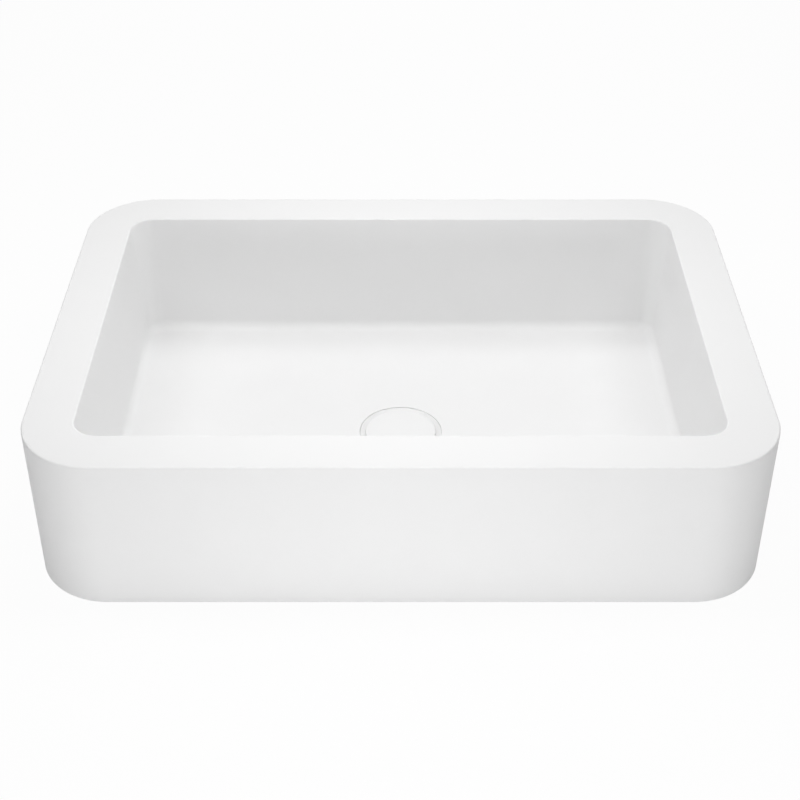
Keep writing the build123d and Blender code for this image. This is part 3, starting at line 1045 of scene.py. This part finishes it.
@dataclass
class WasteClamp:
    """The soft rings, the slip washer and the nut that hold the waste in the basin."""

    thread: Thread = PIPE_THREAD
    barrel: float = BARREL_RADIUS
    thread_gap: float = 0.1 * MM
    countersink: float = 0.4 * MM
    seat_edge: float = 0.25 * MM
    washer_edge: float = 0.3 * MM
    gasket_edge: float = 0.4 * MM
    gasket_bevel: float = 1.25 * MM
    gasket_parts: int = 8
    bulge: float = 0.25 * MM
    nut_flats: float = 52 * MM
    nut_corner: float = 29.6 * MM
    nut_flange_height: float = 2.5 * MM
    nut_edge: float = 0.3 * MM
    nut_bevel: float = 0.6 * MM
    bevel_rows: int = 9
    flat_rows: int = 5
    crease: float = math.radians(18)
    columns: int = 144
    rows_in_pitch: int = 10

    def ring(self, name: str, node: str, slot: str, edge: float, finish: Material) -> None:
        """Builds a flat ring with rounded edges in its solid's place.

        Args:
            name: The piece's name.
            node: The CAD node that it stands for.
            slot: A material slot's name, which is not used.
            edge: The radius of its edges.
            finish: Its material.
        """
        shape = Extent.of(node)
        corners = oblong(shape.inner, shape.outer, shape.foot, shape.top)
        shell = Shell.from_rows(turned(softened(corners, edge), self.columns), Ends.JOINED)
        build_piece(name, [shell], [finish], FIXED_BODY, node)

    def lower_gasket(self, finish: Material) -> None:
        """The thick ring, bevelled at its foot, whose outer wall bulges under the nut's load.

        The wall stands off by the bulge times the sine of its share of the ring's height.
        """
        shape = Extent.of("lower_gasket")
        outer = shape.outer - self.bulge
        corners = (
            (shape.inner, shape.foot), (outer - self.gasket_bevel, shape.foot),
            (outer, shape.foot + self.gasket_bevel), (outer, shape.top), (shape.inner, shape.top),
        )
        wall_end = 3 * CORNER_POINTS
        profile = divided(softened(corners, self.gasket_edge), wall_end, self.gasket_parts)
        share = (profile[:, 1] - shape.foot) / (shape.top - shape.foot)
        swell = self.bulge * np.sin(math.pi * np.clip(share, 0, 1))
        profile[:, 0] += np.where(profile[:, 0] > outer - self.gasket_bevel, swell, 0)
        shell = Shell.from_rows(turned(profile, self.columns), Ends.JOINED)
        build_piece("clamp_gasket", [shell], [finish], FIXED_BODY, "lower_gasket")

    def nut(self, finish: Material) -> None:
        """The hexagon nut with its round flange and its internal thread.

        The hexagon's radius is half its flats over the cosine of the angle from the nearest
        flat's middle, no more than its turned corner, and less near the foot, where a cone
        bevels it. The thread's radius is the barrel's less the same groove, plus a gap, and no
        less than the countersink's at either face.
        """
        shape = Extent.of("lock_nut")
        angle = FULL_TURN * np.arange(self.columns) / self.columns
        from_flat = np.mod(angle, math.pi / 3) - math.pi / 6
        half_flats = self.nut_flats / 2
        hexagon = np.minimum(half_flats / np.cos(from_flat), self.nut_corner)
        shoulder = shape.top - self.nut_flange_height
        bevel_top = shape.foot + (self.nut_corner - half_flats) + self.nut_bevel
        heights = np.concatenate([
            np.linspace(shape.foot, bevel_top, self.bevel_rows),
            np.linspace(bevel_top, shoulder, self.flat_rows + 1)[1:],
        ])
        cone = half_flats - self.nut_bevel + (heights - shape.foot)
        outside = np.minimum(hexagon[None, :], cone[:, None])
        corners = (
            (self.nut_corner, shoulder), (shape.outer, shoulder),
            (shape.outer, shape.top), (shape.inner + 2 * self.countersink, shape.top),
        )
        rim = softened(corners, (0, self.nut_edge, self.nut_edge, 0))
        # From the start of the second corner's arc to the last corner
        rim = rim[CORNER_POINTS + 1:1 - CORNER_POINTS]
        pitch = self.thread.pitch
        count = round((shape.top - shape.foot) / pitch * self.rows_in_pitch)
        inside = np.linspace(shape.top, shape.foot, count + 1)
        groove = self.thread.groove(inside, self.columns, shape.foot - pitch, shape.top + pitch)
        bore = self.barrel + self.thread_gap - groove
        mouth = self.barrel + self.countersink - np.minimum(shape.top - inside, inside - shape.foot)
        bore = np.maximum(bore, mouth[:, None])
        radii = np.concatenate([outside, np.repeat(rim[:, :1], self.columns, axis=1), bore])
        levels = np.concatenate([heights, rim[:, 1], inside])
        profile = np.stack([radii, np.broadcast_to(levels[:, None], radii.shape)], axis=-1)
        shell = Shell.from_rows(turned(profile, self.columns), Ends.JOINED)
        build_piece(
            "clamp_nut", [shell], [finish], FIXED_BODY, "lock_nut", crease=self.crease
        )

    def build(self, finishes: Finishes) -> None:
        """Builds the clamp's pieces.

        Args:
            finishes: The finishes.
        """
        self.ring("seat_gasket", "flange_gasket", "seal_rubber", self.seat_edge, finishes.rubber)
        self.lower_gasket(finishes.rubber)
        self.ring("clamp_washer", "slip_washer", "nylon", self.washer_edge, finishes.nylon)
        self.nut(finishes.brass)


@dataclass
class ClickCartridge:
    """The fixed pieces of the click mechanism."""

    def build(self, finishes: Finishes) -> None:
        """Dresses the cartridge's nodes.

        Args:
            finishes: The finishes.
        """
        dress_nodes(finishes.brass, "cartridge_housing", "stem_guide", "base_plug")
        dress_nodes(finishes.rubber, "stem_seal")
        dress_nodes(finishes.wire, "return_spring")


@dataclass(frozen=True)
class Lamp:
    """One soft rectangular lamp that looks at a point."""

    name: str
    place: tuple[float, float, float]
    size: tuple[float, float]
    power: float
    target: tuple[float, float, float] = (0.0, 0.0, 0.07)

    def build(self) -> None:
        """Puts the lamp in the scene."""
        light = bpy.data.lights.new(self.name, "AREA")
        light.shape = "RECTANGLE"
        light.size, light.size_y = self.size
        light.energy = self.power
        lamp = bpy.data.objects.new(self.name, light)
        lamp.location = self.place
        aim = Vector(self.target) - Vector(self.place)
        lamp.rotation_euler = aim.to_track_quat("-Z", "Y").to_euler()
        lamp.visible_camera = False
        bpy.context.scene.collection.objects.link(lamp)


@dataclass
class Studio:
    """The pale floor, the soft lamps, the white surround and the camera."""

    floor_half: float = 8.0
    floor_sink: float = 0.2 * MM
    floor_grey: float = 0.88
    floor_glow: float = 0.95
    fibre: float = 4 * MM
    surround: float = 0.36
    camera_place: tuple[float, float, float] = (0.0, -1.06993, 0.81786)
    camera_tilt: float = math.radians(54.227)
    camera_lens: float = 67.43
    camera_sensor: float = 36.0
    camera_shift: float = -0.0008
    lamps: tuple[Lamp, ...] = (
        Lamp("lamp_left", (-0.6, 0.0, 1.1), (0.3, 0.4), 2.0),
        Lamp("lamp_right", (0.6, 0.0, 1.1), (0.3, 0.4), 2.0),
        Lamp("lamp_back", (0.0, 0.5, 1.2), (0.5, 0.3), 2.4),
        Lamp("lamp_over_bowl", (0.0, -0.1, 0.65), (0.3, 0.15), 1.05),
        Lamp("lamp_front", (0.0, -1.2, 0.12), (1.0, 0.2), 2.7, (0.0, 0.0, 0.03)),
        Lamp("lamp_front_near", (0.0, -0.7, 0.06), (0.3, 0.1), 0.5, (0.0, 0.0, 0.03)),
        Lamp("lamp_behind", (0.0, 1.3, 0.3), (1.0, 0.3), 1.2),
    )

    def seen_white(self, graph: Graph) -> Signal:
        """1 where a ray comes from the camera, a reflection or a clear body, and else 0."""
        path = graph.node("ShaderNodeLightPath", {}, {})
        camera, glossy, clear = (
            Signal(graph, path.outputs[f"Is {kind} Ray"]) for kind in ("Camera", "Glossy", "Transmission")
        )
        return camera.or_more(glossy).or_more(clear)

    def floor(self) -> None:
        """A white floor that keeps the basin's shadow."""
        material, graph = new_graph("floor_paper")
        fibres = graph.noise(self.fibre, detail=3.0)
        tone = self.floor_grey
        paper = graph.shade(fibres, (tone, tone, tone), (tone - 0.02, tone - 0.02, tone - 0.02))
        matte = graph.node("ShaderNodeBsdfDiffuse", {}, {"Color": paper})
        glow = graph.node("ShaderNodeEmission", {}, {"Color": (1, 1, 1, 1), "Strength": 1.0})
        share = self.seen_white(graph) * self.floor_glow
        shaders = {0: share, 1: matte.outputs[0], 2: glow.outputs[0]}
        mixed = graph.node("ShaderNodeMixShader", {}, shaders)
        graph.node("ShaderNodeOutputMaterial", {}, {"Surface": mixed.outputs[0]})
        half = self.floor_half
        corners = [(x, y, -self.floor_sink) for x, y in oblong(-half, half, -half, half)]
        mesh = bpy.data.meshes.new("studio_floor")
        mesh.from_pydata(corners, [], [(0, 1, 2, 3)])
        mesh.materials.append(material)
        floor = bpy.data.objects.new("studio_floor", mesh)
        bpy.context.scene.collection.objects.link(floor)

    def world(self) -> None:
        """A surround that is white to the eye and dimmer as a light."""
        world = bpy.data.worlds.new("studio_surround")
        world.use_nodes = True
        graph = Graph(world.node_tree)
        level_of_light = self.surround + (1 - self.surround) * self.seen_white(graph)
        ground = graph.node("ShaderNodeBackground", {}, {"Color": (1, 1, 1, 1), "Strength": level_of_light})
        graph.node("ShaderNodeOutputWorld", {}, {"Surface": ground.outputs[0]})
        bpy.context.scene.world = world

    def camera(self) -> None:
        """The camera at the photograph's angle."""
        data = bpy.data.cameras.new("camera")
        data.lens = self.camera_lens
        data.sensor_width = self.camera_sensor
        data.shift_x = self.camera_shift
        camera = bpy.data.objects.new("camera", data)
        camera.location = self.camera_place
        camera.rotation_euler = Euler((self.camera_tilt, 0.0, 0.0))
        bpy.context.scene.collection.objects.link(camera)
        bpy.context.scene.camera = camera

    def build(self) -> None:
        """Builds the studio."""
        bpy.context.scene.view_settings.view_transform = "Standard"
        self.camera()
        self.floor()
        self.world()
        for lamp in self.lamps:
            lamp.build()


def main() -> None:
    """Builds the studio and every sub-assembly."""
    logging.basicConfig(level=logging.INFO, format="%(name)s %(message)s")
    Studio().build()
    finishes = Finishes.build()
    StoneBasin().build(finishes)
    CoverGroup().build(finishes)
    WasteBody().build(finishes)
    WasteClamp().build(finishes)
    ClickCartridge().build(finishes)


if __name__ == "__main__":
    main()
